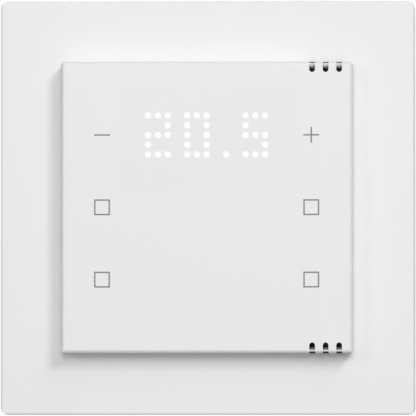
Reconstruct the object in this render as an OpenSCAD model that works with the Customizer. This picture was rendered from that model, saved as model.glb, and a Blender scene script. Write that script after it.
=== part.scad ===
// Flush-mounted touch room thermostat: a steel mounting frame on the wall box, a loose surround
// frame, and a snap-on electronic module with a dot display, touch keys and air vents.
//
// X runs to the right, Z up and Y into the wall. The wall surface is the plane y = 0, so the front
// faces -Y and everything behind the wall surface has a positive y.

/* [Surround frame] */
// Width and height of the surround frame
frame_w = 80.8; // [79:0.1:92]
// How far the surround frame's front face stands off the wall
frame_depth = 9.4; // [8.8:0.1:12]
// Thickness of the surround frame's front and side walls
frame_wall = 2; // [1.5:0.1:2.5]
// Rounding of the surround frame's four corners, seen from the front
frame_corner_r = 1.3; // [1:0.1:2]
// Rounding of the surround frame's front edge
frame_edge_r = 0.4; // [0.4:0.1:0.9]
// Width of the square opening that the module passes through
frame_opening = 55.6; // [54:0.1:58]
// How far the collar round the opening reaches back from the front face
collar_depth = 5.4; // [4:0.1:6]

/* [Module housing] */
// How far the cover overlaps the edge of the frame's opening on each side
cover_overlap = 0.6; // [0.4:0.1:2]
// How far the cover stands proud of the surround frame
cover_height = 5.2; // [4.6:0.1:8]
// Thickness of the cover's side walls
cover_wall = 1.5; // [1.2:0.1:2]
// Thickness of the cover's front wall
cover_front = 1.6; // [1.2:0.1:2]
// Rounding of the cover's edges and corners
cover_edge_r = 0.7; // [0.6:0.1:1.2]
// Wall thickness of the rear housing
rear_wall = 1.2; // [1:0.1:1.6]
// Width of the pot that reaches into the wall box
pot_w = 42; // [38:0.5:44]
// How far the pot reaches behind the wall surface
pot_depth = 8; // [7:0.5:16]

/* [Vents] */
// Number of slots in each of the two rows
vent_count = 3; // [2:1:4]
// Distance between neighbouring slots
vent_pitch = 2.63; // [2:0.01:3]
// Width of a slot
vent_w = 1.1; // [0.8:0.1:1.4]
// How far a slot reaches into the front face from the cover's edge
vent_reach = 2.05; // [1.8:0.05:2.6]
// Distance from the cover's side to the last slot's centre
vent_inset = 2.58; // [2.4:0.02:4]
// How far a slot runs down the side of the cover
vent_side = 3.6; // [2.5:0.1:4]

/* [Touch keys] */
// Distance of the key columns from the middle
key_x = 20.4; // [19.5:0.1:20.8]
// Distance between the key rows
key_pitch = 14.1; // [12:0.1:15.5]
// Size of a key symbol
key_size = 3.1; // [2.6:0.1:4]
// Width of a symbol's printed line
key_line = 0.28; // [0.2:0.02:0.4]

/* [Dot display] */
// Distance between neighbouring dots
dot_pitch = 1.9; // [1.7:0.05:2]
// Number of dot columns
dot_columns = 13; // [9:2:15]
// Number of dot rows
dot_rows = 5; // [3:2:7]
// Diameter of a light guide peg
dot_d = 1.1; // [0.8:0.05:1.2]

/* [Mounting frame] */
// Width of the steel mounting frame
plate_w = 71; // [70:0.5:73]
// Thickness of the steel
plate_t = 1; // [0.8:0.1:1.2]
// Diameter of the wall box screws
box_screw_d = 3.2; // [3:0.1:3.5]
// Length of the wall box screws under the head
box_screw_l = 20; // [15:1:25]

/* [Bus terminal] */
// Distance between the two bus pins
pin_pitch = 5.75; // [5:0.05:6]
// Diameter of a bus pin
pin_d = 1; // [0.8:0.1:1.2]
// Depth of the plug-in terminal from its pin side to its wire side
terminal_depth = 10.2; // [9:0.1:12]
// Height of the plug-in terminal
terminal_h = 10.4; // [10:0.1:12]
// Diameter of a wire entry
wire_d = 1.2; // [1:0.1:1.4]

/* [Hidden] */
$fn = 48;
box_pitch = 60;             // distance between opposite screws of a standard wall box

eps = 0.01;                 // overshoot of a cut past the face it opens
clear = 0.1;                // gap between pieces that only lie against each other
lip_gap = 0.2;              // gap between the cover's rim and the surround frame
snug = 0.02;                // gap round a piece in its own seat

// Levels along the depth axis, counted back from the front of the cover
frame_front = -frame_depth;
cover_front_y = frame_front - cover_height;
cover_inner_y = cover_front_y + cover_front;
cover_back_y = frame_front - lip_gap;
foil_t = 0.25;
electrode_t = 0.1;
foil_y = cover_inner_y;
mask_t = 1.9;
mask_y = cover_inner_y + clear;
skin_t = 0.4;               // plastic left in front of each light pocket
guide_web_t = 0.4;
guide_web_y = mask_y + mask_t;
board_t = 1;
board_y = guide_web_y + guide_web_t + 0.9;
board_back_y = board_y + board_t;

// Levels counted forward from the mounting frame
main_t = 1.6;
standoff_h = 1.2;
floor_back_y = -plate_t - 0.7;
floor_y = floor_back_y - rear_wall;
main_back_y = floor_y - standoff_h;
main_y = main_back_y - main_t;
pot_back_y = pot_depth;

// Widths
cover_w = frame_opening + 2 * cover_overlap;
cover_half = cover_w / 2;
cavity_w = cover_w - 2 * cover_wall;
neck_w = frame_opening - 0.8;
rim_w = cavity_w - 2 * clear;
rim_h = 1.8;
rear_cavity_w = rim_w - 2 * rear_wall;
pot_corner_r = 4;
pot_cavity_w = pot_w - 2 * rear_wall;
board_w = rear_cavity_w - 0.6;
foil_w = board_w - 1;

// Screw bosses in the corners, and the notches that clear them
boss_xy = board_w / 2 - 2.2;
boss_r = 1.9;
shoulder_r = 2.4;
board_inner = boss_xy - boss_r - 0.15;
foil_inner = boss_xy - shoulder_r - 0.2;
post_x = rear_cavity_w / 2 - 2.9;
post_z = 14;
screw_r = 1;
screw_head_r = 1.85;
screw_head_h = 0.9;
screw_l = 8;

// Vents
vent_bridge_y = 0.12;       // how far behind the front face a side slot starts
vent_bridge_in = 0.6;       // distance from the side at which a front slot starts
vent_xs = [for (i = [0 : vent_count - 1]) cover_half - vent_inset - i * vent_pitch];

// Touch keys
mark_t = 0.12;
electrode_w = 7.6;

// Display
led_size = [1.0, 0.5, 0.6]; // width, depth and height of one light-emitting chip
display_z = key_pitch;
dot_xs = [for (i = [0 : dot_columns - 1]) (i - (dot_columns - 1) / 2) * dot_pitch];
dot_zs = [for (i = [0 : dot_rows - 1]) display_z + (i - (dot_rows - 1) / 2) * dot_pitch];
mask_w = dot_columns * dot_pitch + 3;
mask_h = dot_rows * dot_pitch + 3;
pocket_r = dot_d / 2 + 0.08;

// Catches between the rear housing and the mounting frame
catch_z = 8.5;
catch_w = 4.6;
hook_x = pot_w / 2 + 2;
hook_t = 1.2;
hook_end_y = 2.8;
barb_y = 1.4;
barb_h = 0.8;
leaf_t = 0.3;
leaf_x = hook_x + hook_t + barb_h + 0.85;
plate_opening = pot_w + 2.4;
catch_window_x = leaf_x + 0.3;

// Terminal
pole_w = pin_pitch;
well_gap = 0.3;
well_wall = 1;
well_floor_y = 0.2;
well_w = 2 * pole_w + 2 * well_gap;
well_h = terminal_h + 2 * well_gap;
terminal_x = -(pot_cavity_w - well_w) / 2 + well_wall + 3.75;
terminal_y = well_floor_y + well_wall + well_gap;
terminal_back_y = terminal_y + terminal_depth;
pin_tip_y = terminal_y + 5.2;
socket_r = pin_d / 2 + 0.15;
wire_l = 4.5;
wire_z = 2.5;

// Programming key and lamp
lamp_x = pot_cavity_w / 2 - 4.3;
lamp_r = 1.2;
prog_x = lamp_x - 6.5;
prog_z = 9;
prog_r = 1.7;
prog_bore_r = prog_r + 0.08;
prog_travel = 0.5;
switch_w = 6;
switch_h = 3.5;
switch_y = main_back_y;
plunger_y = switch_y + 2.6;
dome_t = 0.12;

// Parts on the boards, as [x, z]
capacitor_pos = [pot_cavity_w / 2 - 8.8, -9];
choke_pos = [terminal_x, 6.8 - pot_cavity_w / 2];
transceiver_pos = [terminal_x, pot_cavity_w / 2 - 6.8];
choke_r = 3.6;
choke_post_r = 1.6;
choke_h = 4;
choke_flange = 0.8;
header_pos = [0, -20];
header_count = 8;
header_pitch = 2;

// Sensor corner
sensor_x = board_w / 2 - 8.6;
sensor_z = -board_w / 2 + 2;
sensor_board_y = foil_y + 2;
sensor_gap_w = 10;
sensor_gap_h = 11;

// A flat piece drawn as seen from the front, from depth y0 to depth y1
module slab(y0, y1) {
    translate([0, y1, 0]) rotate([90, 0, 0]) linear_extrude(height = y1 - y0) children();
}

// A shape drawn in the X-Y plane, seen from above, and extruded along Z about the middle
module prism(h) {
    linear_extrude(height = h, center = true) children();
}

module rounded_square(w, h, r) {
    if (h > 2 * r) square([w, h - 2 * r], center = true);
    if (w > 2 * r) square([w - 2 * r, h], center = true);
    for (x = [-1, 1], y = [-1, 1])
        translate([x * (w / 2 - r), y * (h / 2 - r)]) circle(r);
}

// A square whose four corners are notched so that only the middle band reaches the full width
module notched_square(w, inner) {
    square([w, 2 * inner], center = true);
    square([2 * inner, w], center = true);
}

// The side view of a box whose front edges are rounded, from the front at y0 to the back at y1
module rounded_profile(w, y0, y1, r) {
    translate([-w / 2, y0 + r]) square([w, y1 - y0 - r]);
    translate([-w / 2 + r, y0]) square([w - 2 * r, y1 - y0]);
    for (x = [-1, 1]) translate([x * (w / 2 - r), y0 + r]) circle(r);
}

// A square box with rounded corners and a rounded front edge
module soft_box(w, y0, y1, corner_r, edge_r) {
    intersection() {
        slab(y0, y1) rounded_square(w, w, corner_r);
        prism(w) rounded_profile(w, y0, y1, edge_r);
        rotate([0, 90, 0]) prism(w) rounded_profile(w, y0, y1, edge_r);
    }
}

module box(x, y0, y1, z, w, h) {
    translate([x - w / 2, y0, z - h / 2]) cube([w, y1 - y0, h]);
}

// A cylinder along the depth axis
module rod(x, z, r, y0, y1) {
    translate([x, y1, z]) rotate([90, 0, 0]) cylinder(r = r, h = y1 - y0);
}

// A cone along the depth axis, with radius r0 at y0 and r1 at y1
module cone(x, z, r0, r1, y0, y1) {
    translate([x, y1, z]) rotate([90, 0, 0]) cylinder(r1 = r1, r2 = r0, h = y1 - y0);
}

// A bent strip of sheet through a list of points
module strip(points, t) {
    for (i = [0 : len(points) - 2]) {
        step = points[i + 1] - points[i];
        translate(points[i]) rotate(atan2(step[1], step[0]))
            translate([0, -t / 2]) square([norm(step), t]);
    }
    for (p = points) translate(p) circle(d = t);
}

module corners(d) {
    for (x = [-1, 1], z = [-1, 1]) translate([x * d, 0, z * d]) children();
}

module catches() {
    for (side = [-1, 1], z = [-catch_z, catch_z])
        translate([0, 0, z]) mirror([side < 0 ? 1 : 0, 0, 0]) children();
}

// ---- On the wall ----

module mounting_frame() {
    bead_w = 26;
    hole_r = 2.1;
    color("lightsteelblue") difference() {
        union() {
            slab(-plate_t, 0) rounded_square(plate_w, plate_w, 3);
            for (z = [-1, 1]) translate([0, 0, z * (plate_w / 2 - 1.6)])
                slab(-plate_t - 0.4, -plate_t + eps) rounded_square(bead_w, 1.6, 0.8);
        }
        slab(-plate_t - eps, eps) rounded_square(plate_opening, plate_opening, pot_corner_r);
        catches() box(catch_window_x / 2 + 8, -plate_t - eps, eps, 0, catch_window_x - 16, catch_w + 1.4);
        for (x = [-1, 1]) translate([x * box_pitch / 2, 0, 0])
            slab(-plate_t - eps, eps) rounded_square(box_screw_d + 0.4, 8, box_screw_d / 2 + 0.2);
        for (z = [-1, 1]) rod(0, z * box_pitch / 2, hole_r, -plate_t - eps, eps);
        corners(box_pitch / 2) rod(0, 0, hole_r, -plate_t - eps, eps);
    }
}

module box_screws() {
    head_r = 3;
    head_h = 2;
    recess = 1.2;
    color("silver") for (side = [-1, 1]) translate([side * box_pitch / 2, 0, 0]) difference() {
        union() {
            rod(0, 0, box_screw_d / 2 - 0.3, -plate_t - eps, eps);
            rod(0, 0, box_screw_d / 2, 0, box_screw_l - plate_t);
            intersection() {
                rod(0, 0, head_r, -plate_t - head_h, -plate_t);
                translate([0, head_r + 0.7 - plate_t - head_h, 0]) sphere(r = head_r + 0.7);
            }
        }
        for (a = [0, 90]) rotate([0, a, 0])
            box(0, -plate_t - head_h - 1, -plate_t - head_h + recess, 0, 3.4, 0.8);
    }
}

module catch_springs() {
    foot = 2.8;
    path = [
        [leaf_x + foot, -plate_t - leaf_t / 2 - snug],
        [leaf_x, -plate_t - leaf_t / 2 - snug],
        [leaf_x, 0.3],
        [hook_x + hook_t + 0.25, barb_y - leaf_t / 2 - 0.2],
        [hook_x + hook_t + barb_h + 0.6, barb_y - 0.05],
        [leaf_x + 0.3, hook_end_y]
    ];
    color("gainsboro") catches() prism(catch_w) strip(path, leaf_t);
}

// ---- Surround frame ----

module surround_frame() {
    back = -clear;
    hollow = frame_w - 2 * frame_wall;
    collar_w = frame_opening + 2.8;
    collar_back = frame_front + collar_depth;
    rib = [1, 1.2];
    color("white") difference() {
        soft_box(frame_w, frame_front, back, frame_corner_r, frame_edge_r);
        difference() {
            slab(frame_front + frame_wall, back + eps) square(hollow, center = true);
            slab(frame_front, collar_back) square(collar_w, center = true);
            for (a = [0, 90], x = [-1, 1]) rotate([0, a, 0])
                box(x * 16, frame_front, frame_front + frame_wall + rib[1], 0, rib[0], hollow + 1);
        }
        slab(frame_front - eps, back + eps) rounded_square(frame_opening, frame_opening, 0.5);
    }
}

// ---- Front of the module ----

// One slot in the front face and the slot that follows it down the side
module vent_slot(x) {
    top = cover_half - vent_reach + vent_w / 2;
    bar = cover_half - vent_bridge_in;
    y0 = cover_front_y + vent_bridge_y;
    y1 = cover_front_y + vent_side - vent_w / 2;
    slab(cover_front_y - eps, cover_inner_y + eps) translate([x, 0]) {
        translate([-vent_w / 2, top]) square([vent_w, bar - top]);
        translate([0, top]) circle(vent_w / 2);
    }
    translate([x, 0, cover_half - cover_wall - eps])
        linear_extrude(height = cover_wall + 2 * eps) {
            translate([-vent_w / 2, y0]) square([vent_w, y1 - y0]);
            translate([0, y1]) circle(vent_w / 2);
        }
}

module symbol_minus() {
    square([key_size, key_line], center = true);
}

module symbol_plus() {
    square([key_size, key_line], center = true);
    square([key_line, key_size], center = true);
}

module symbol_square() {
    difference() {
        square(key_size, center = true);
        square(key_size - 2 * key_line, center = true);
    }
}

// The six key symbols, as flat outlines seen from the front
module symbols() {
    translate([-key_x, key_pitch]) symbol_minus();
    translate([key_x, key_pitch]) symbol_plus();
    for (x = [-key_x, key_x], z = [0, -key_pitch]) translate([x, z]) symbol_square();
}

module front_cover() {
    boss_back = floor_y - clear;
    color("white") difference() {
        union() {
            difference() {
                soft_box(cover_w, cover_front_y, cover_back_y, cover_edge_r, cover_edge_r);
                slab(cover_inner_y, cover_back_y + eps) square(cavity_w, center = true);
            }
            corners(boss_xy) {
                rod(0, 0, shoulder_r, cover_inner_y - eps, board_y);
                rod(0, 0, boss_r, cover_inner_y - eps, boss_back);
            }
        }
        for (x = vent_xs) {
            vent_slot(x);
            mirror([0, 0, 1]) vent_slot(x);
        }
        slab(cover_front_y - eps, cover_front_y + mark_t) symbols();
        for (x = dot_xs, z = dot_zs)
            rod(x, z, pocket_r, cover_front_y + skin_t, cover_inner_y + eps);
        corners(boss_xy) rod(0, 0, screw_r + snug, boss_back - screw_l, boss_back + eps);
    }
}

module key_symbols() {
    color("gray") slab(cover_front_y, cover_front_y + mark_t) symbols();
}

module touch_foil() {
    color("goldenrod") slab(foil_y, foil_y + foil_t) difference() {
        notched_square(foil_w, foil_inner);
        translate([0, display_z]) square([mask_w + 0.6, mask_h + 0.6], center = true);
    }
}

module touch_electrodes() {
    y0 = foil_y + foil_t;
    color("peru") for (x = [-key_x, key_x], z = [-key_pitch, 0, key_pitch])
        translate([x, 0, z]) slab(y0, y0 + electrode_t) difference() {
            rounded_square(electrode_w, electrode_w, 1);
            circle(1.2);
        }
}

module light_mask() {
    color("dimgray") slab(mask_y, mask_y + mask_t) difference() {
        translate([0, display_z]) square([mask_w, mask_h], center = true);
        for (x = dot_xs, z = dot_zs) translate([x, z]) circle(dot_d / 2 + 0.06);
    }
}

module light_guide() {
    color("whitesmoke") {
        slab(guide_web_y, guide_web_y + guide_web_t)
            translate([0, display_z]) square([mask_w, mask_h], center = true);
        for (x = dot_xs, z = dot_zs)
            rod(x, z, dot_d / 2, cover_front_y + skin_t + 0.05, guide_web_y + eps);
    }
}

module display_leds() {
    color("lightyellow") for (x = dot_xs, z = dot_zs)
        box(x, board_y - led_size[1], board_y, z, led_size[0], led_size[2]);
}

// ---- Circuit boards ----

module display_board() {
    color("seagreen") slab(board_y, board_back_y) difference() {
        notched_square(board_w, board_inner);
        sensor_cutout();
    }
}

// The corner of the display board and the spacer that is left out round the sensor
module sensor_cutout() {
    translate([sensor_x + 0.5, -board_w / 2]) square([sensor_gap_w, sensor_gap_h], center = true);
}

module display_driver() {
    color("black") box(-8, board_back_y, board_back_y + 0.9, 12, 7, 7);
}

module touch_controller() {
    color("black") box(6, board_back_y, board_back_y + 0.85, 12, 5, 5);
}

// Each header pin's place along the row
header_xs = [for (i = [0 : header_count - 1])
    header_pos[0] + (i - (header_count - 1) / 2) * header_pitch];

module board_header() {
    color("black") difference() {
        box(header_pos[0], board_back_y, main_y, header_pos[1], header_count * header_pitch + 0.4, 2.4);
        for (x = header_xs) box(x, board_back_y - eps, main_y + eps, header_pos[1], 0.54, 0.54);
    }
}

module header_pins() {
    color("gold") for (x = header_xs) box(x, board_back_y, main_y, header_pos[1], 0.5, 0.5);
}

module spacer_frame() {
    rail = 1.2;
    color("gainsboro") slab(board_back_y, main_y) difference() {
        notched_square(board_w, board_inner);
        notched_square(board_w - 2 * rail, board_inner - rail);
        sensor_cutout();
    }
}

module main_board() {
    color("seagreen") difference() {
        slab(main_y, main_back_y) notched_square(board_w, board_inner);
        for (side = [-1, 1])
            rod(terminal_x + side * pin_pitch / 2, 0, pin_d / 2 + snug, main_y - eps, main_back_y + eps);
    }
}

module microcontroller() {
    color("black") box(8, main_y - 1.4, main_y, 3, 9, 9);
}

module bus_transceiver() {
    color("black") box(transceiver_pos[0], main_back_y, main_back_y + 1, transceiver_pos[1], 6, 5);
}

// A can standing on a square plastic foot, with a crimped groove near its foot
module storage_capacitor() {
    r = 4;
    l = 8.6;
    foot = 0.5;
    color("silver") difference() {
        rod(capacitor_pos[0], capacitor_pos[1], r, main_back_y + foot, main_back_y + l);
        translate([capacitor_pos[0], main_back_y + 2, capacitor_pos[1]]) rotate([90, 0, 0])
            rotate_extrude() translate([r + 0.15, 0]) circle(0.5);
    }
    color("dimgray")
        box(capacitor_pos[0], main_back_y, main_back_y + foot + eps, capacitor_pos[1], 2 * r, 2 * r);
}

module choke_core() {
    color("dimgray") {
        rod(choke_pos[0], choke_pos[1], choke_r, main_back_y, main_back_y + choke_flange);
        rod(choke_pos[0], choke_pos[1], choke_post_r, main_back_y, main_back_y + choke_h);
        rod(choke_pos[0], choke_pos[1], choke_r, main_back_y + choke_h - choke_flange, main_back_y + choke_h);
    }
}

module choke_winding() {
    y0 = main_back_y + choke_flange + snug;
    y1 = main_back_y + choke_h - choke_flange - snug;
    color("peru") difference() {
        rod(choke_pos[0], choke_pos[1], choke_r - 0.5, y0, y1);
        rod(choke_pos[0], choke_pos[1], choke_post_r + snug, y0 - eps, y1 + eps);
    }
}

module crystal() {
    color("silver") slab(main_y - 1.2, main_y)
        translate([8, -6]) rounded_square(5, 3.2, 0.8);
}

// Two-terminal parts on both boards
module small_capacitors() {
    h = 0.8;
    l = 1.6;
    color("tan") {
        for (i = [0 : 4]) box(-12 + i * 3, board_back_y, board_back_y + h, 5, l, h);
        for (i = [0 : 3]) box(-1, main_y - h, main_y, -2 + i * 2.4, l, h);
        for (i = [0 : 3]) box(2 + i * 3.2, main_back_y, main_back_y + h, 0, h, l);
        for (i = [0 : 2]) box(terminal_x - 6, main_back_y, main_back_y + h, 9 + i * 2.4, l, h);
    }
}

module bus_pins() {
    color("gold") for (side = [-1, 1]) {
        x = terminal_x + side * pin_pitch / 2;
        rod(x, 0, pin_d / 2, main_y - 0.4, pin_tip_y - 0.4);
        cone(x, 0, pin_d / 2, pin_d / 4, pin_tip_y - 0.4, pin_tip_y);
    }
}

// ---- Programming key and lamp ----

module programming_switch() {
    color("dimgray") difference() {
        union() {
            box(prog_x, switch_y, switch_y + switch_h - 0.5, prog_z, switch_w, switch_w);
            rod(prog_x, prog_z, prog_r + 0.9, switch_y + 1, switch_y + switch_h);
        }
        rod(prog_x, prog_z, prog_bore_r, plunger_y - prog_travel - 0.4, switch_y + switch_h + eps);
    }
}

// A spring dome under the plunger, a cap of a thin sphere
module contact_dome() {
    r = 3;
    base_y = plunger_y - prog_travel - 0.4;
    h = plunger_y - snug - base_y;
    color("gainsboro") intersection() {
        rod(prog_x, prog_z, 1.6, base_y + 0.3, base_y + h);
        difference() {
            translate([prog_x, base_y + h - r, prog_z]) sphere(r = r);
            translate([prog_x, base_y + h - r, prog_z]) sphere(r = r - dome_t);
        }
    }
}

module programming_button() {
    flange_h = 0.8;
    flange_y = pot_back_y - rear_wall - clear - flange_h;
    color("white") difference() {
        union() {
            rod(prog_x, prog_z, prog_r, plunger_y, pot_back_y + 0.4);
            rod(prog_x, prog_z, prog_r + 0.7, flange_y, flange_y + flange_h);
        }
        translate([prog_x, pot_back_y + 0.4 + 2.6, prog_z]) sphere(r = 2.9);
    }
}

module programming_led() {
    color("salmon") box(lamp_x, main_back_y, main_back_y + 0.8, prog_z, 2, 1.2);
}

module led_light_pipe() {
    color("mistyrose") {
        rod(lamp_x, prog_z, lamp_r, main_back_y + 1, pot_back_y);
        rod(lamp_x, prog_z, lamp_r + 0.5, pot_back_y - rear_wall - 0.8, pot_back_y - rear_wall - snug);
    }
}

// ---- Sensor corner ----

module sensor_board() {
    color("seagreen") box(sensor_x, sensor_board_y, sensor_board_y + 0.8, sensor_z, 5, 3.6);
}

module temperature_sensor() {
    color("black") difference() {
        box(sensor_x + 0.8, sensor_board_y - 0.9, sensor_board_y, sensor_z, 2.5, 2.5);
        rod(sensor_x + 0.8, sensor_z, 0.5, sensor_board_y - 0.9 - eps, sensor_board_y - 0.6);
    }
}

// A flat cable from the sensor board to the front of the display board
module sensor_ribbon() {
    t = 0.15;
    y0 = sensor_board_y + 0.8 + t / 2;
    y1 = board_y - t / 2;
    z0 = sensor_z + 1;
    path = [[y0, z0], [y0, z0 + 2], [y1, z0 + 3.6], [y1, z0 + 5.2]];
    color("goldenrod") translate([sensor_x - 1, 0, 0]) rotate([90, 0, 90]) prism(2.4) strip(path, t);
}

// An angled wall that keeps the boards' heat away from the sensor, with a gap for the cable
module sensor_baffle() {
    t = 0.7;
    x0 = sensor_x + 0.5 - sensor_gap_w / 2;
    x1 = boss_xy - shoulder_r - 0.3;
    z0 = -rear_cavity_w / 2 + clear;
    z1 = -board_w / 2 + sensor_gap_h / 2 + 0.5;
    y0 = foil_y + foil_t + electrode_t + clear;
    y1 = board_y - snug;
    color("darkslategray") difference() {
        union() {
            translate([x0, y0, z0]) cube([t, y1 - y0, z1 - z0]);
            translate([x0, y0, z1 - t]) cube([x1 - x0, y1 - y0, t]);
        }
        box(sensor_x - 1, y1 - 0.6, y1 + eps, z1, 2.8, 3);
    }
}

// ---- Back of the module ----

module rear_shell() {
    slab(cover_back_y + snug, floor_back_y) rounded_square(neck_w, neck_w, 0.8);
    slab(cover_back_y - rim_h, cover_back_y + clear) rounded_square(rim_w, rim_w, 0.4);
    slab(floor_y, pot_back_y) rounded_square(pot_w, pot_w, pot_corner_r);
}

module rear_hollow() {
    slab(cover_back_y - rim_h - eps, floor_y) square(rear_cavity_w, center = true);
    difference() {
        slab(floor_y - eps, pot_back_y - rear_wall)
            rounded_square(pot_cavity_w, pot_cavity_w, pot_corner_r - rear_wall);
        translate([terminal_x, 0, 0]) slab(well_floor_y, pot_back_y)
            square([well_w + 2 * well_wall, well_h + 2 * well_wall], center = true);
    }
}

// A springy hook behind the tray, with its barb pointing outwards
module catch_hook() {
    lead = 0.9;
    prism(catch_w) polygon([
        [hook_x, floor_back_y - 0.1], [hook_x + hook_t, floor_back_y - 0.1],
        [hook_x + hook_t, barb_y], [hook_x + hook_t + barb_h, barb_y + 0.2],
        [hook_x + hook_t, hook_end_y], [hook_x + 0.3, hook_end_y], [hook_x, hook_end_y - lead]
    ]);
}

module rear_cover() {
    screw_notch_r = 3.3;
    label_depth = 0.1;
    air_notch_y = floor_y - 3;
    color("whitesmoke") difference() {
        union() {
            difference() {
                rear_shell();
                rear_hollow();
            }
            for (x = [-post_x, post_x], z = [-post_z, post_z])
                rod(x, z, 1.6, main_back_y, floor_y + eps);
            catches() catch_hook();
        }
        translate([terminal_x, 0, 0]) slab(well_floor_y + well_wall, pot_back_y + eps)
            square([well_w, well_h], center = true);
        for (side = [-1, 1]) {
            rod(terminal_x + side * pin_pitch / 2, 0, pin_d / 2 + clear,
                well_floor_y - eps, well_floor_y + well_wall + eps);
            rod(side * box_pitch / 2, 0, screw_notch_r, floor_back_y - 2.2, floor_back_y + eps);
        }
        slab(pot_back_y - label_depth, pot_back_y + eps)
            translate([prog_x, -10]) square([16, 12], center = true);
        rod(prog_x, prog_z, prog_bore_r, pot_back_y - rear_wall - eps, pot_back_y + eps);
        rod(lamp_x, prog_z, lamp_r + snug, pot_back_y - rear_wall - eps, pot_back_y + eps);
        for (x = vent_xs, side = [-1, 1])
            box(x, cover_back_y - rim_h - eps, air_notch_y, side * (rear_cavity_w + rear_wall) / 2,
                vent_w + 0.5, rear_wall + 2 * eps);
        corners(boss_xy) {
            rod(0, 0, screw_r + snug, floor_y - eps, floor_back_y + eps);
            cone(0, 0, screw_r + snug, screw_head_r + snug, floor_back_y - screw_head_h, floor_back_y + eps);
        }
    }
}

module housing_screws() {
    color("silver") corners(boss_xy) difference() {
        union() {
            rod(0, 0, screw_r, floor_y - screw_l + 0.6, floor_back_y - screw_head_h + eps);
            cone(0, 0, screw_r, screw_head_r, floor_back_y - screw_head_h, floor_back_y);
        }
        for (a = [0, 90]) rotate([0, a, 0]) box(0, floor_back_y - 0.6, floor_back_y + 1, 0, 2, 0.45);
    }
}

// ---- Plug-in bus terminal ----

// One pole of the terminal, centred on its pin: a pin socket in front and two wire entries behind
module terminal_pole() {
    w = pole_w - 0.04;
    difference() {
        union() {
            box(0, terminal_y, terminal_back_y - 1.4, 0, w, terminal_h);
            box(0, terminal_y, terminal_back_y, 0, w - 0.8, terminal_h - 0.8);
        }
        rod(0, 0, socket_r, terminal_y - eps, terminal_y + 5.6);
        for (z = [-wire_z, wire_z]) {
            rod(0, z, wire_d / 2, terminal_back_y - wire_l, terminal_back_y + eps);
            box(0, terminal_y + 2, terminal_back_y - wire_l + eps, z, 2.4, 2.6);
        }
    }
}

module terminal_plus() {
    color("firebrick") translate([terminal_x + pin_pitch / 2, 0, 0]) terminal_pole();
}

module terminal_minus() {
    color("dimgray") translate([terminal_x - pin_pitch / 2, 0, 0]) terminal_pole();
}

// The spring clamp inside each wire chamber
module terminal_clamps() {
    t = 0.25;
    y0 = terminal_y + 2.2;
    y1 = terminal_back_y - wire_l - 0.2;
    path = [[1, y1], [1, y0 + t], [-1, y0 + t], [-1, y1 - 0.4], [-0.2, y1 - 1.6]];
    color("gold") for (pole = [-1, 1], z = [-wire_z, wire_z])
        translate([terminal_x + pole * pin_pitch / 2, 0, z]) prism(2) strip(path, t);
}

mounting_frame();
box_screws();
catch_springs();
surround_frame();
front_cover();
key_symbols();
touch_foil();
touch_electrodes();
light_mask();
light_guide();
display_leds();
display_board();
display_driver();
touch_controller();
board_header();
header_pins();
spacer_frame();
main_board();
microcontroller();
bus_transceiver();
storage_capacitor();
choke_core();
choke_winding();
crystal();
small_capacitors();
bus_pins();
programming_switch();
contact_dome();
programming_led();
led_light_pipe();
sensor_board();
temperature_sensor();
sensor_ribbon();
sensor_baffle();
rear_cover();
housing_screws();
programming_button();
terminal_plus();
terminal_minus();
terminal_clamps();
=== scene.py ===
import math

import bmesh
import bpy
import numpy as np
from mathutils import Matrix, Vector


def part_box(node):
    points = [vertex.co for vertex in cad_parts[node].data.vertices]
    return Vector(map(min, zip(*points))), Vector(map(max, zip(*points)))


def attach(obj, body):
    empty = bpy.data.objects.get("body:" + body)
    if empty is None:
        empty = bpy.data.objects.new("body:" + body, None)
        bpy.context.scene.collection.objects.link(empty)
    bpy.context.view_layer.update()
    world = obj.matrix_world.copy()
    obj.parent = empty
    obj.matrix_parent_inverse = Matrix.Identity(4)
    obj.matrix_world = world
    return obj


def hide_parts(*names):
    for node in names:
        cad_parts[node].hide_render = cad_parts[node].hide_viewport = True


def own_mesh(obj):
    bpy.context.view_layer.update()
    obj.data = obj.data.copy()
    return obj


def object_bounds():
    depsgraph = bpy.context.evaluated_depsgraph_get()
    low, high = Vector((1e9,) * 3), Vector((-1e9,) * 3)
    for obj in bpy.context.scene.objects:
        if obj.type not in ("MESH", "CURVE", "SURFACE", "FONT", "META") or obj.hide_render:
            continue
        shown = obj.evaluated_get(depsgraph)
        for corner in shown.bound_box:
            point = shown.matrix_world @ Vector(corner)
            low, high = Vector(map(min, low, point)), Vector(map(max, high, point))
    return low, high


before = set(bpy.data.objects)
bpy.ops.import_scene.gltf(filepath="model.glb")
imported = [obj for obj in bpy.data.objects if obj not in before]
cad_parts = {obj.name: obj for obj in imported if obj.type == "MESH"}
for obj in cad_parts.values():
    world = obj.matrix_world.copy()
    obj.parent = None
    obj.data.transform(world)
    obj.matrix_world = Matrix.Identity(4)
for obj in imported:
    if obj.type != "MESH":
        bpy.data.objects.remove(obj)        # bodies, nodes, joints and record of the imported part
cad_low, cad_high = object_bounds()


# ---- Mounting frame ----
# A stamped square of 1 mm sheet steel with a zinc coating, screwed flat to the wall box. The
# coating has frozen in flat crystals of slightly different greys, and the tumbling drum has left
# fine scuffs. A small pressed arrow shows which side goes up.

MM = 0.001
MERGE_WITHIN = 1e-6
ARROW_Z = 26.0
ARROW_PROUD = 0.2
BEAD_PROUD = 0.4


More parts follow.
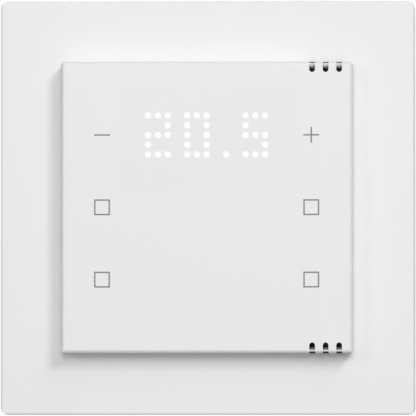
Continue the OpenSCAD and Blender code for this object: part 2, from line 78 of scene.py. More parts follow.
class Amount:
    """A number that changes over a surface. Arithmetic on it adds Math nodes to its finish."""

    def __init__(self, finish, socket):
        self.finish = finish
        self.socket = socket

    def math(self, operation, *values):
        return self.finish.node("ShaderNodeMath", {"operation": operation}, dict(enumerate(values)))

    def __add__(self, other):
        return self.math("ADD", self, other)

    __radd__ = __add__

    def __sub__(self, other):
        return self.math("SUBTRACT", self, other)

    def __rsub__(self, other):
        return self.math("SUBTRACT", other, self)

    def __mul__(self, other):
        return self.math("MULTIPLY", self, other)

    __rmul__ = __mul__

    def __truediv__(self, other):
        return self.math("DIVIDE", self, other)

    def __lt__(self, other):
        return self.math("LESS_THAN", self, other)

    def __gt__(self, other):
        return self.math("GREATER_THAN", self, other)

    def __mod__(self, other):
        return self.math("FLOORED_MODULO", self, other)

    def __abs__(self):
        return self.math("ABSOLUTE", self)

    def largest(self, other):
        return self.math("MAXIMUM", self, other)

    def whole(self):
        return self.math("ROUND", self)

    def length_with(self, other):
        """The distance sqrt(self^2 + other^2)."""
        return self.math("SQRT", self * self + other * other)

    def fade(self, start, end):
        """0 at start and 1 at end, with a smooth step between them."""
        inputs = {"Value": self, "From Min": start, "From Max": end}
        return self.finish.node("ShaderNodeMapRange", {"interpolation_type": "SMOOTHSTEP"}, inputs)


class Finish:
    """A procedural material: node() adds any node, and paint() connects a value to the shader."""

    def __init__(self, name, **constants):
        self.material = bpy.data.materials.new(name)
        self.material.use_nodes = True
        self.tree = self.material.node_tree
        self.shader = self.tree.nodes["Principled BSDF"]
        for socket, value in constants.items():
            self.shader.inputs[socket.replace("_", " ")].default_value = value
        self.place = self.node("ShaderNodeTexCoord", output="Object")

    def node(self, kind, settings=None, inputs=None, output=0):
        """Adds one node: its type, its settings, then the values or links of its sockets."""
        made = self.tree.nodes.new(kind)
        for key, value in (settings or {}).items():
            setattr(made, key, value)
        for key, value in (inputs or {}).items():
            self.feed(made.inputs[key], value)
        return Amount(self, made.outputs[output])

    def feed(self, socket, value):
        if isinstance(value, Amount):
            self.tree.links.new(value.socket, socket)
        else:
            socket.default_value = value

    def paint(self, **values):
        """Connects values to the Principled shader's sockets."""
        for socket, value in values.items():
            self.feed(self.shader.inputs[socket.replace("_", " ")], value)

    def axes(self, centre=(0, 0, 0)):
        """X, Y and Z of a point on the surface, in mm from a centre given in mm."""
        moved = self.node("ShaderNodeVectorMath", {"operation": "SUBTRACT"},
                          {0: self.place, 1: Vector(centre) * MM})
        return [self.node("ShaderNodeSeparateXYZ", None, {0: moved}, axis) / MM for axis in "XYZ"]

    def noise(self, size, detail=2, squeeze=(1, 1, 1)):
        """Cloudy noise from 0 to 1 with blobs size mm wide. Along an axis whose squeeze is below 1
        the blobs are drawn out into streaks."""
        place = self.node("ShaderNodeVectorMath", {"operation": "MULTIPLY"},
                          {0: self.place, 1: squeeze})
        inputs = {"Vector": place, "Scale": 1 / (size * MM), "Detail": detail}
        return self.node("ShaderNodeTexNoise", None, inputs, "Fac")

    def cells(self, size):
        """Random cells about size mm wide, each with a random colour of its own."""
        return self.node("ShaderNodeTexVoronoi", None,
                         {"Vector": self.place, "Scale": 1 / (size * MM)}, "Color")

    def mix(self, factor, first, second):
        """The first colour where factor is 0 and the second where it is 1."""
        inputs = {0: factor}
        for key, value in ((6, first), (7, second)):
            inputs[key] = value if isinstance(value, Amount) else (*value, 1)
        return self.node("ShaderNodeMix", {"data_type": "RGBA"}, inputs, 2)

    def bump(self, height, depth):
        """A normal that stands for a relief of that height, depth mm deep where height is 1."""
        inputs = {"Height": height, "Distance": depth * MM, "Strength": 1.0}
        return self.node("ShaderNodeBump", None, inputs, "Normal")


def shade(colour, factor):
    """The colour, darker by a factor."""
    return tuple(part * factor for part in colour)


def dress(finish, *nodes):
    """Gives CAD nodes a finish. Their shapes stay as the frame has them."""
    for name in nodes:
        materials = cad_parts[name].data.materials
        materials.clear()
        materials.append(finish.material)


def plated_steel(name, colour, crystal, rough):
    """Coated sheet: a grey of its own for each crystal, long fine scuffs and a little orange peel."""
    finish = Finish(name, Metallic=1.0)
    spangle = finish.node("ShaderNodeSeparateColor", None, {0: finish.cells(crystal)}, 0)
    scuffs = finish.noise(0.35, 3, squeeze=(1, 1, 0.08)).fade(0.45, 0.75)
    peel = finish.noise(0.8, 3)
    finish.paint(Base_Color=finish.mix(spangle * 0.7 + scuffs * 0.3, shade(colour, 0.86), colour),
                 Roughness=rough + 0.12 * spangle + 0.1 * scuffs,
                 Normal=finish.bump(peel + 0.25 * scuffs, 0.012))
    return finish


def surface(name, grids, finish, body, soften=35):
    """One piece from grids of points in mm, each rows x columns x 3, closed round its columns.
    Rows that shrink to a point close an end. Edges sharper than soften degrees stay sharp."""
    points = np.concatenate([grid.reshape(-1, 3) for grid in grids]) * MM
    faces = []
    start = 0
    for grid in grids:
        rows, columns = grid.shape[:2]
        index = start + np.arange(rows * columns).reshape(rows, columns)
        ahead = np.roll(index, -1, axis=1)
        quads = np.stack([index[:-1], ahead[:-1], ahead[1:], index[1:]], axis=-1)
        faces.append(quads.reshape(-1, 4))
        start += rows * columns
    return finish_mesh(name, points, np.concatenate(faces), finish, body, soften)


def finish_mesh(name, points, faces, finish, body, soften):
    """Makes the object, merges doubled points, turns the faces outward and hangs it on its body."""
    mesh = bpy.data.meshes.new(name)
    mesh.from_pydata(points.tolist(), [], faces.tolist())
    work = bmesh.new()
    work.from_mesh(mesh)
    bmesh.ops.remove_doubles(work, verts=work.verts, dist=MERGE_WITHIN)
    bmesh.ops.recalc_face_normals(work, faces=work.faces)
    work.to_mesh(mesh)
    work.free()
    mesh.shade_smooth()
    mesh.set_sharp_from_angle(angle=math.radians(soften))
    mesh.materials.append(finish.material)
    piece = bpy.data.objects.new(name, mesh)
    bpy.context.scene.collection.objects.link(piece)
    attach(piece, body)
    return piece


def boss(outline, centre, levels):
    """A raised solid: one closed outline of (x, z) points in mm about a centre, drawn at each
    level (y, scale). A scale of 0 closes it."""
    levels = np.array(levels, float)
    flat = np.array(outline, float)[None, :, :] * levels[:, 1, None, None]
    depth = np.broadcast_to(levels[:, 0, None, None], flat.shape[:2] + (1,))
    return np.concatenate([flat[..., :1], depth, flat[..., 1:]], axis=-1) + np.array(centre, float)


zinc = plated_steel("zinc_sheet", (0.60, 0.62, 0.63), 3.5, 0.32)
dress(zinc, "mounting_frame")
plate_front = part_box("mounting_frame")[0].y / MM + BEAD_PROUD
arrow = [(-2.2, -1.2), (0, 1.8), (2.2, -1.2), (0, -0.5)]
pressed = [(0.1, 0), (0.1, 1), (-ARROW_PROUD, 0.9), (-ARROW_PROUD, 0)]
surface("top_arrow", [boss(arrow, (0, plate_front, ARROW_Z), pressed)],
        zinc, "wall_mount")


# ---- Box screws ----
# Two zinc-plated 3.2 mm steel screws that clamp the frame to the wall box. The head is cold-headed
# with a cross recess, and the thread is rolled, so its crests are round and its run-out is short.

SCREW_X = 30.0
HEAD_R = 3.0
HEAD_TOP = -3.0
HEAD_BACK = -1.0
HEAD_BEVEL = 0.1
RIM_R = 0.985 * HEAD_R
DOME_R = 3.7
RECESS_FLOOR = -1.8
RECESS_ARM = 1.7
RECESS_HALF_W = 0.4
SHANK_R = 1.6
NECK_R = 1.3
SCREW_END = 19.0
THREAD_PITCH = 0.6
THREAD_DEPTH = 0.3
THREAD_RUN_OUT = 0.8
around = np.radians(np.arange(0, 360, 5))


def cross(angles, arm, half_width):
    """Radius of a cross outline: the nearest arm's end or its side, whichever comes first."""
    nearest = (angles + math.pi / 4) % (math.pi / 2) - math.pi / 4
    side = half_width / np.maximum(np.abs(np.sin(nearest)), 1e-6)
    return np.minimum(arm / np.cos(nearest), side)


def dome(radius):
    """Depth of the head's front, a sphere of radius DOME_R, at a distance from the screw's axis."""
    return HEAD_TOP + DOME_R - np.sqrt(DOME_R ** 2 - radius ** 2)


def ring_grid(centre, radii, depths):
    """A surface round the Y axis: rows of radii and depths, one column for each angle of around."""
    x = radii * np.cos(around) + centre[0]
    z = radii * np.sin(around) + centre[1]
    return np.stack([x, depths, z], axis=-1)


def box_screw(x):
    """Head: the cross recess widens into the domed disc. Shank: with phase = depth / pitch - turns,
    modulo 1, the radius is root + thread depth * clip(1.3 - 2.6 |phase - 0.5|, 0, 1), which is the
    profile of a rolled thread, and it tapers out at both ends."""
    flat = np.ones_like(around)
    recess = cross(around, RECESS_ARM, RECESS_HALF_W)
    rows = [(0 * flat, RECESS_FLOOR * flat), (0.7 * recess, RECESS_FLOOR * flat),
            (recess, dome(recess))]
    for part in (0.2, 0.45, 0.7, 0.88, 0.96):
        radius = recess * (1 - part) + RIM_R * part
        rows.append((radius, dome(radius)))
    rim = dome(RIM_R)
    rows += [(RIM_R * flat, rim * flat), (HEAD_R * flat, (rim + 0.08) * flat),
             (HEAD_R * flat, (HEAD_BACK - HEAD_BEVEL) * flat),
             ((HEAD_R - 0.9 * HEAD_BEVEL) * flat, HEAD_BACK * flat),
             (NECK_R * flat, HEAD_BACK * flat)]
    for depth in np.arange(-0.1, SCREW_END - 0.5, THREAD_PITCH / 6):
        phase = (depth / THREAD_PITCH - around / (2 * math.pi)) % 1
        ridge = np.clip(1.3 - 2.6 * np.abs(phase - 0.5), 0, 1)
        fade = np.clip(min(depth, SCREW_END - depth) / THREAD_RUN_OUT, 0, 1)
        rows.append((SHANK_R - THREAD_DEPTH + THREAD_DEPTH * ridge * fade, depth * flat))
    rows += [(0.7 * SHANK_R * flat, SCREW_END * flat), (0 * flat, SCREW_END * flat)]
    radii, depths = (np.array(column) for column in zip(*rows))
    return ring_grid((x, 0), radii, depths)


bright_zinc = plated_steel("bright_zinc", (0.66, 0.66, 0.63), 1.2, 0.24)
screws = surface("box_screws_threaded", [box_screw(-SCREW_X), box_screw(SCREW_X)], bright_zinc,
                 "wall_mount")
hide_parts("box_screws")


# ---- Catch springs ----
# Four leaves of spring steel strip, bent and spot-welded to the mounting frame. The module's hooks
# snap behind them. The strip is rolled, so fine lines run along it.

spring = Finish("spring_strip", Metallic=1.0)
rolled = spring.noise(0.12, 3, squeeze=(0.06, 0.06, 1))
spring.paint(Base_Color=spring.mix(rolled, (0.42, 0.41, 0.39), (0.60, 0.59, 0.56)),
             Roughness=0.2 + 0.14 * rolled,
             Normal=spring.bump(rolled, 0.006))
dress(spring, "catch_springs", "contact_dome")


# ---- Surround frame ----
# The loose square frame that the module clamps to the wall, moulded in one shot in white
# thermoplastic. The tool is finely honed: the face is satin, with a grain finer than 0.2 mm.

WHITE = (0.883, 0.883, 0.884)


def satin_plastic(name, colour, rough, grain, depth):
    """Moulded plastic: shade and gloss drift slowly over the part, and a fine grain covers it."""
    finish = Finish(name, IOR=1.49)
    drift = finish.noise(14, 2)
    finish.grain = finish.noise(grain, 3)
    finish.colour = finish.mix(drift, shade(colour, 0.99), colour)
    finish.paint(Base_Color=finish.colour,
                 Roughness=rough + 0.05 * (drift - 0.5) + 0.06 * (finish.grain - 0.5),
                 Normal=finish.bump(finish.grain, depth))
    return finish


satin_white = satin_plastic("satin_white", WHITE, 0.42, 0.16, 0.003)
dress(satin_white, "surround_frame")


# ---- Front cover ----
# The housing's white front, moulded in the same satin plastic. Behind the display it is milled to
# a thin skin over each light peg, so a lit dot is a white spot with a soft rim and an unlit one does
# not show. The skin's window is a hair darker. The throats of the vent slots are painted black as
# painted shade, standing for the deep shade inside them.

COVER_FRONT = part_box("front_cover")[0].y / MM
COVER_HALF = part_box("front_cover")[1].x / MM
DOT_PITCH = 1.9
DISPLAY_Z = 14.1
LIT_ROWS = ("###.###...###",
            "..#.#.#...#..",
            "###.#.#...###",
            "#...#.#.....#",
            "###.###.#.###")
SPOT_LIGHT = (0.38, 0.39, 0.46)
WINDOW_Z = 13.5
WINDOW_HALF_W = 19.0
WINDOW_HALF_H = 12.0
WINDOW_FADE = 3.0
FACE_DEPTH = 0.2
VENT_X = 23.19
VENT_PITCH = 2.63
VENT_HALF_W = 0.57
VENT_REACH = 3.0
# Black painted into the vent slots as painted shade.
VENT_SHADE_BLACK = (0.004, 0.004, 0.004)


def dot_cells(finish):
    """Column and row number of the nearest dot, and the distance from its middle in mm."""
    x, _, z = finish.axes((0, 0, DISPLAY_Z))
    across = x / DOT_PITCH + (len(LIT_ROWS[0]) - 1) / 2
    up = z / DOT_PITCH + (len(LIT_ROWS) - 1) / 2
    column = across.whole()
    row = up.whole()
    return column, row, (across - column).length_with(up - row) * DOT_PITCH


def lit(finish, column, row):
    """1 where the dot is lit. Each row's dots are the bits of one number, picked by the row, and
    a column's bit is that number divided by 2 to the column, rounded down, modulo 2."""
    bits = 0
    for number, dots in enumerate(reversed(LIT_ROWS)):
        code = sum(2 ** place for place, dot in enumerate(dots) if dot == "#")
        bits = finish.node("ShaderNodeMath", {"operation": "COMPARE"},
                           {0: row, 1: number, 2: 0.1}) * code + bits
    shifted = bits / finish.node("ShaderNodeMath", {"operation": "POWER"}, {0: 2.0, 1: column})
    return shifted.math("FLOOR", shifted) % 2


cover = satin_plastic("satin_white_lit", WHITE, 0.42, 0.16, 0.003)
column, row, off_centre = dot_cells(cover)
cover_x, cover_y, cover_z = cover.axes((0, COVER_FRONT, WINDOW_Z))
window = (abs(cover_x).fade(WINDOW_HALF_W, WINDOW_HALF_W - WINDOW_FADE)
          * abs(cover_z).fade(WINDOW_HALF_H, WINDOW_HALF_H - WINDOW_FADE))
on_face = cover_y < FACE_DEPTH
spot = off_centre.fade(0.72, 0.15)
halo = off_centre.fade(0.95, 0.4)
spread = spot * 0.85 + halo * 0.15
glow = lit(cover, column, row) * on_face * spread
vent_x, vent_depth, vent_z = cover.axes((VENT_X, COVER_FRONT, 0))
from_vent = abs((vent_x + VENT_PITCH / 2) % VENT_PITCH - VENT_PITCH / 2)
in_vent = (from_vent < VENT_HALF_W) * (abs(vent_x) < 1.5 * VENT_PITCH) * (vent_depth > 0.3)
inward = COVER_HALF - abs(vent_z)
throat = inward.fade(0.5, 1.4)
side_throat = (inward < 0.5) * (vent_depth > 1.0)
# Painted shade: the vent slots' throats are painted black, fading in deeper inward, where shade falls
# inside them.
painted_vent_shade = in_vent * throat.largest(side_throat) * (inward < VENT_REACH)
plain = cover.mix(window * on_face * 0.02, cover.colour, (0.4, 0.4, 0.4))
cover.paint(Base_Color=cover.mix(painted_vent_shade, plain, VENT_SHADE_BLACK),
            Emission_Color=cover.mix(glow, (0, 0, 0), SPOT_LIGHT),
            Emission_Strength=1.0)
dress(cover, "front_cover")


# ---- Key symbols ----
# Minus, plus and four squares, pad-printed in grey ink that fills hairline grooves in the front.

ink = Finish("grey_ink")
mottle = ink.noise(0.2, 3)
ink.paint(Base_Color=ink.mix(mottle, (0.20, 0.20, 0.21), (0.27, 0.27, 0.28)),
          Roughness=0.55 + 0.1 * mottle,
          Normal=ink.bump(mottle, 0.004))
dress(ink, "key_symbols")


# ---- Touch foil, electrodes and sensor ribbon ----
# A flexible amber film behind the front, with six etched copper fields that feel a finger through
# the plastic, and a strip of the same film to the temperature sensor.

TRACE_STEP = 1.2
TRACE_HALF_W = 0.12
film = Finish("amber_film", IOR=1.6, Coat_Weight=0.3)
cloudy = film.noise(0.3, 2)
traces = abs(film.axes()[0] % TRACE_STEP - TRACE_STEP / 2) < TRACE_HALF_W
amber = film.mix(cloudy, (0.52, 0.24, 0.04), (0.62, 0.31, 0.06))
film.paint(Base_Color=film.mix(traces * 0.5, amber, (0.35, 0.13, 0.03)),
           Roughness=0.3 + 0.1 * cloudy,
           Normal=film.bump(traces + 0.2 * cloudy, 0.01))
dress(film, "touch_foil", "sensor_ribbon")

copper = Finish("etched_copper", Metallic=1.0)
tarnish = copper.noise(1.4, 4)
copper.paint(Base_Color=copper.mix(tarnish, (0.72, 0.36, 0.22), (0.50, 0.24, 0.16)),
             Roughness=0.28 + 0.2 * tarnish,
             Normal=copper.bump(copper.noise(0.15, 2), 0.004))
dress(copper, "touch_electrodes")


# ---- Light mask, light guide and display diodes ----
# A black grid keeps each dot's light apart, a milky clear moulding with one peg for each dot fills
# it, and under each peg stands a white diode chip with a yellow drop of phosphor.

mask_black = satin_plastic("mask_black", (0.02, 0.02, 0.021), 0.5, 0.2, 0.006)
dress(mask_black, "light_mask", "board_header")

clear = Finish("milky_clear", IOR=1.49, Transmission_Weight=0.85)
haze = clear.noise(1.5, 3)
clear.paint(Base_Color=clear.mix(haze, (0.86, 0.88, 0.89), (0.93, 0.95, 0.95)),
            Roughness=0.12 + 0.12 * haze,
            Normal=clear.bump(haze, 0.01))
dress(clear, "light_guide")

diode = Finish("diode_body", IOR=1.5)
_, _, diode_off = dot_cells(diode)
drop = diode_off.fade(0.34, 0.28)
ends = diode_off > 0.42
body_colour = diode.mix(drop, (0.86, 0.85, 0.80), (0.85, 0.68, 0.16))
diode.paint(Base_Color=diode.mix(ends, body_colour, (0.70, 0.68, 0.62)),
            Metallic=ends,
            Roughness=0.42 - 0.2 * drop,
            Normal=diode.bump(drop, 0.05))
dress(diode, "display_leds", "programming_led")


# ---- Circuit boards ----
# Glass-fibre laminate under green solder mask. The copper tracks stand up a little through the
# mask and look lighter, small drilled holes have bare rims, and the cut edges show the laminate.

TRACK_STEP = 1.27
TRACK_HALF_W = 0.14
HOLE_R = 0.3
SOFT_EDGE = 0.02


def circuit_board(name):
    """Each square cell holds one track through its middle, along X or along Z at random."""
    finish = Finish(name, IOR=1.5, Coat_Weight=0.25)
    x, _, z = finish.axes()
    column = (x / TRACK_STEP).whole()
    row = (z / TRACK_STEP).whole()
    dx = x - column * TRACK_STEP
    dz = z - row * TRACK_STEP
    cell = finish.node("ShaderNodeCombineXYZ", None, {0: column, 1: row})
    chance = finish.node("ShaderNodeTexWhiteNoise", None, {"Vector": cell}, "Value")
    along = chance < 0.5
    off_line = abs(dx) * along + abs(dz) * (1 - along)
    track = off_line.fade(TRACK_HALF_W + SOFT_EDGE, TRACK_HALF_W - SOFT_EDGE)
    drilled = dx.length_with(dz).fade(HOLE_R + SOFT_EDGE, HOLE_R - SOFT_EDGE)
    hole = (chance > 0.9) * drilled
    face = finish.node("ShaderNodeTexCoord", output="Normal")
    edge = abs(finish.node("ShaderNodeSeparateXYZ", None, {0: face}, "Y")) < 0.5
    fibres = finish.noise(0.3, 2, squeeze=(1, 6, 1))
    mask = finish.mix(track * 0.6, (0.010, 0.085, 0.035), (0.035, 0.22, 0.085))
    ringed = finish.mix(hole, mask, (0.62, 0.60, 0.52))
    laminate = finish.mix(fibres, (0.40, 0.36, 0.20), (0.55, 0.50, 0.30))
    finish.paint(Base_Color=finish.mix(edge, ringed, laminate),
                 Metallic=hole * (1 - edge),
                 Roughness=0.28 + 0.35 * edge + 0.04 * fibres,
                 Normal=finish.bump(track + hole, 0.03))
    return finish


dress(circuit_board("solder_mask"), "display_board", "main_board", "sensor_board")


# ---- Chips and their leads ----
# Integrated circuits in black filled resin, with a small round dimple that marks pin 1, and rows
# of tinned leads bent out and down to their pads.

tin = Finish("tinned_lead", Metallic=1.0)
frost = tin.noise(0.15, 3)
tin.paint(Base_Color=tin.mix(frost, (0.58, 0.58, 0.57), (0.74, 0.74, 0.72)),
          Roughness=0.28 + 0.15 * frost,
          Normal=tin.bump(frost, 0.005))


def chip_resin(node):
    """Dresses one chip: moulded resin with a dimple near its lower left corner."""
    low, high = (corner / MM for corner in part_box(node))
    inset = 0.17 * (high.x - low.x)
    finish = Finish(node + "_resin", IOR=1.55)
    x, _, z = finish.axes((low.x + inset, 0, low.z + inset))
    dimple = x.length_with(z).fade(0.34, 0.26)
    grit = finish.noise(0.12, 3)
    finish.paint(Base_Color=finish.mix(dimple, (0.022, 0.022, 0.024), (0.012, 0.012, 0.013)),
                 Roughness=0.55 + 0.12 * grit - 0.25 * dimple,
                 Normal=finish.bump(0.1 * grit - dimple, 0.05))
    dress(finish, node)


def carried(path, side, section):
    """A section carried along a path: each of its (across, up) points is laid off from each path
    point, across along the path's normal in its plane and up along side. Both ends are closed."""
    path = np.array(path, float)
    along = np.gradient(path, axis=0)
    along /= np.linalg.norm(along, axis=1, keepdims=True)
    side = np.broadcast_to(np.array(side, float), path.shape)
    across = np.cross(along, side)
    across /= np.linalg.norm(across, axis=1, keepdims=True)
    up = np.cross(across, along)
    section = np.array(section, float)
    body = (path[:, None] + across[:, None] * section[None, :, :1]
            + up[:, None] * section[None, :, 1:])
    ends = [np.broadcast_to(path[end], body[:1].shape) for end in (0, -1)]
    return np.concatenate([ends[0], body, ends[1]])


LEAD_HALF_T = 0.06
LEAD_HALF_W = 0.12
SOLDER = 0.02


def leads(node, count, pitch, board_y, sides):
    """Rows of gull-wing leads: out of the chip's side at half its height, down and out again."""
    low, high = (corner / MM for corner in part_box(node))
    middle = (low + high) / 2
    tall = board_y - middle.y
    landed = tall - (LEAD_HALF_T + SOLDER) * np.sign(tall)
    bend = [(-0.1, 0), (0.25, 0), (0.42, 0.3 * tall), (0.5, 0.8 * tall), (0.65, landed),
            (0.95, landed)]
    strip = [(-LEAD_HALF_T, -LEAD_HALF_W), (LEAD_HALF_T, -LEAD_HALF_W),
             (LEAD_HALF_T, LEAD_HALF_W), (-LEAD_HALF_T, LEAD_HALF_W)]
    grids = []
    for turn in sides:
        out = np.array([math.cos(turn), 0, math.sin(turn)])
        beside = np.array([-math.sin(turn), 0, math.cos(turn)])
        reach = (high.x - low.x) / 2 if abs(out[0]) > 0.5 else (high.z - low.z) / 2
        for number in range(count):
            start = np.array(middle) + out * reach + beside * (number - (count - 1) / 2) * pitch
            path = [start + out * away + np.array([0, down, 0]) for away, down in bend]
            grids.append(carried(path, beside, strip))
    return grids


display_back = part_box("display_board")[1].y / MM
main_front, main_back = (corner.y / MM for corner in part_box("main_board"))
quarter_turns = [math.pi / 2 * turn for turn in range(4)]
for chip in ("display_driver", "touch_controller", "microcontroller", "bus_transceiver",
             "temperature_sensor"):
    chip_resin(chip)
surface("display_driver_leads", leads("display_driver", 8, 0.75, display_back, quarter_turns),
        tin, "module")
surface("microcontroller_leads", leads("microcontroller", 12, 0.65, main_front, quarter_turns),
        tin, "module")
surface("bus_transceiver_leads", leads("bus_transceiver", 4, 1.1, main_back, quarter_turns[0::2]),
        tin, "module")


# ---- Pins and clamps ----
# The board-to-board pins, the two bus pins and the terminal's spring clamps are drawn or stamped
# bronze with a thin gold coat, slightly streaked along the drawing direction.

gold = Finish("gold_flash", Metallic=1.0)
streaks = gold.noise(0.2, 3, squeeze=(1, 0.1, 1))
gold.paint(Base_Color=gold.mix(streaks, (0.83, 0.58, 0.22), (0.92, 0.70, 0.33)),
           Roughness=0.18 + 0.16 * streaks,
           Normal=gold.bump(streaks, 0.004))
dress(gold, "header_pins", "bus_pins", "terminal_clamps")


# ---- Storage capacitor ----
# A drawn aluminium can on a black plastic foot. Its base has a cross scored in it, which lets
# pressure out, and a black wedge marks the minus side.

FOOT_H = 0.5
SCORE_R = 2.6
SCORE_HALF_W = 0.12
MINUS_EDGE = -2.2
BLACK = (0.02, 0.02, 0.02)
can_low, can_high = (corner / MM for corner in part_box("storage_capacitor"))
can_centre = ((can_low.x + can_high.x) / 2, can_high.y, (can_low.z + can_high.z) / 2)
can = Finish("aluminium_can")
can_x, can_y, can_z = can.axes(can_centre)
foot = can_y < can_low.y - can_high.y + FOOT_H
on_end = can_y > -0.05
diagonals = abs(abs(can_x) - abs(can_z)).fade(SCORE_HALF_W + 0.04, SCORE_HALF_W - 0.04)
score = on_end * diagonals * can_x.length_with(can_z).fade(SCORE_R, SCORE_R - 0.1)
black_parts = foot.largest(on_end * (can_x < MINUS_EDGE))
drawn = can.noise(0.25, 3, squeeze=(1, 0.1, 1))
bare = can.mix(drawn, (0.62, 0.62, 0.63), (0.76, 0.76, 0.77))
can.paint(Base_Color=can.mix(black_parts, bare, BLACK),
          Metallic=1 - black_parts,
          Roughness=0.3 + 0.15 * drawn,
          Normal=can.bump(0.1 * drawn - score, 0.06))
dress(can, "storage_capacitor")


# ---- Choke ----
# A ground ferrite bobbin wound with enamelled copper wire in two layers.

WIRE_R = 0.15
core_low, core_high = (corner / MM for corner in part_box("choke_core"))
core_centre = (core_low + core_high) / 2
winding_low, winding_high = (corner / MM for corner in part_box("choke_winding"))

ferrite = Finish("ground_ferrite")
pores = ferrite.noise(0.25, 4)
ferrite.paint(Base_Color=ferrite.mix(pores, (0.035, 0.034, 0.036), (0.075, 0.073, 0.075)),
              Roughness=0.5 + 0.2 * pores,
              Normal=ferrite.bump(pores, 0.02))
dress(ferrite, "choke_core")


def winding_layer(radius):
    """A helix round the bobbin's axis that climbs one wire diameter for each turn."""
    tall = winding_high.y - winding_low.y - 2 * WIRE_R
    turns = tall / (2 * WIRE_R)
    angle = np.linspace(0, 2 * math.pi * turns, int(turns * 28))
    path = np.stack([core_centre.x + radius * np.cos(angle),
                     winding_low.y + WIRE_R + tall * angle / angle[-1],
                     core_centre.z + radius * np.sin(angle)], axis=-1)
    bead = np.radians(np.arange(0, 360, 45))
    return carried(path, (0, 1, 0), WIRE_R * np.stack([np.cos(bead), np.sin(bead)], axis=-1))


enamel = Finish("copper_enamel", Metallic=0.8, Coat_Weight=0.6)
lacquer = enamel.noise(0.4, 2)
enamel.paint(Base_Color=enamel.mix(lacquer, (0.45, 0.14, 0.05), (0.60, 0.22, 0.08)),
             Roughness=0.25 + 0.1 * lacquer,
             Normal=enamel.bump(lacquer, 0.01))
outer_layer = winding_high.x - core_centre.x - WIRE_R
inner_layer = outer_layer - 1.8 * WIRE_R
winding = surface("choke_wire", [winding_layer(outer_layer), winding_layer(inner_layer)],
                  enamel, "module", soften=60)
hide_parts("choke_winding")


# ---- Crystal ----
# The clock crystal's pressed and welded can, nickel bright with a faint brush.

crystal_can = plated_steel("nickel_can", (0.72, 0.71, 0.68), 2.5, 0.16)
dress(crystal_can, "crystal")


# ---- Small capacitors ----
# Fired ceramic blocks, tan and slightly speckled. They are soldered to both boards.

ceramic = Finish("fired_ceramic")
speck = ceramic.noise(0.2, 3)
ceramic.paint(Base_Color=ceramic.mix(speck, (0.36, 0.24, 0.13), (0.46, 0.32, 0.19)),
              Roughness=0.4 + 0.1 * speck,
              Normal=ceramic.bump(speck, 0.006))
dress(ceramic, "small_capacitors")


# ---- Programming key, switch and lamp ----
# At the back a white key on a spring dome sets the address, beside a lamp whose light comes
# through a short red rod. The switch's body is grey glass-filled plastic. Its snap dome is stamped
# from the springs' strip. On the real switch it flattens when the key is pressed.

glass_filled = satin_plastic("glass_filled_grey", (0.055, 0.056, 0.06), 0.55, 0.22, 0.01)
dress(glass_filled, "programming_switch", "sensor_baffle")

SNAP_R = 3.0
SNAP_HALF_W = 1.6
SNAP_T = 0.1
dome_low, dome_high = (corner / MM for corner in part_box("contact_dome"))
dome_centre = ((dome_low.x + dome_high.x) / 2, (dome_low.z + dome_high.z) / 2)


def snap_dome():
    """A thin shell between two spheres with one centre, cut off at SNAP_HALF_W from its axis."""
    out = SNAP_HALF_W * np.linspace(0, 1, 9)[:, None] * np.ones_like(around)
    middle = dome_high.y - SNAP_R
    outer = middle + np.sqrt(SNAP_R ** 2 - out ** 2)
    inner = np.maximum(middle + np.sqrt((SNAP_R - SNAP_T) ** 2 - out ** 2), dome_low.y)
    return ring_grid(dome_centre, np.concatenate([out, out[::-1]]),
                     np.concatenate([outer, inner[::-1]]))


snap = surface("snap_dome", [snap_dome()], spring, "module")
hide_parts("contact_dome")
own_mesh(snap)

lens = Finish("red_lens", IOR=1.49, Transmission_Weight=0.5)
swirl = lens.noise(0.8, 2)
lens.paint(Base_Color=lens.mix(swirl, (0.70, 0.05, 0.04), (0.78, 0.09, 0.07)),
           Roughness=0.1 + 0.08 * swirl,
           Normal=lens.bump(swirl, 0.008))
dress(lens, "led_light_pipe")


# ---- Spacer, rear cover and key cap ----
# The inner white mouldings come from a plainer tool: spark-eroded, so their skin is coarser and
# more matt than the front's. Ejector pins have left shallow rings on the rear cover's floor.

RING_AT = 17.0
RING_R = 1.6
INNER_WHITE = (0.80, 0.805, 0.80)
inner_white = satin_plastic("eroded_white", INNER_WHITE, 0.55, 0.28, 0.012)
dress(inner_white, "spacer_frame", "programming_button")

shell = satin_plastic("eroded_white_shell", INNER_WHITE, 0.55, 0.28, 0.012)
shell_x, _, shell_z = shell.axes()
ring_x = abs(shell_x) - RING_AT
ring_z = abs(shell_z) - RING_AT
from_ring = abs(ring_x.length_with(ring_z) - RING_R)
shell.paint(Normal=shell.bump(0.2 * shell.grain - from_ring.fade(0.12, 0.04), 0.05))
dress(shell, "rear_cover")


# ---- Rating label ----
# A blank matt film label in the shallow recess at the back of the pot: a printed border and two
# writing lines for the installer, and no words.

POT_BACK = 8.0
LABEL_W = 15.6
LABEL_H = 11.6
LABEL_T = 0.1
LABEL_CORNER_R = 0.8
BORDER_INSET = 0.7
LINE_Z = 1.6
LINE_HALF_L = 5.8
label_centre = (9.0, POT_BACK - LABEL_T, -10.0)
label = Finish("label_film")
label_x, _, label_z = label.axes(label_centre)
past_edge = (abs(label_x) - LABEL_W / 2).largest(abs(label_z) - LABEL_H / 2)
border = abs(past_edge + BORDER_INSET) < 0.1
writing = (abs(abs(label_z) - LINE_Z) < 0.07) * (abs(label_x) < LINE_HALF_L)
fibre = label.noise(0.3, 3)
blank = label.mix(fibre, (0.66, 0.67, 0.68), (0.72, 0.73, 0.74))
label.paint(Base_Color=label.mix(border.largest(writing), blank, (0.06, 0.06, 0.065)),
            Roughness=0.5 + 0.1 * fibre,
            Normal=label.bump(fibre, 0.004))
corner = np.radians(np.arange(0, 360, 15))
arc = np.stack([np.cos(corner), np.sin(corner)], axis=-1)
arc_centres = np.sign(np.stack([np.cos(corner + 0.01), np.sin(corner + 0.01)], axis=-1)) \
    * [LABEL_W / 2 - LABEL_CORNER_R, LABEL_H / 2 - LABEL_CORNER_R]
label_outline = arc * LABEL_CORNER_R + arc_centres
laid = [(0.01, 0), (0.01, 1), (LABEL_T - 0.01, 1), (LABEL_T, 0.995), (LABEL_T, 0)]
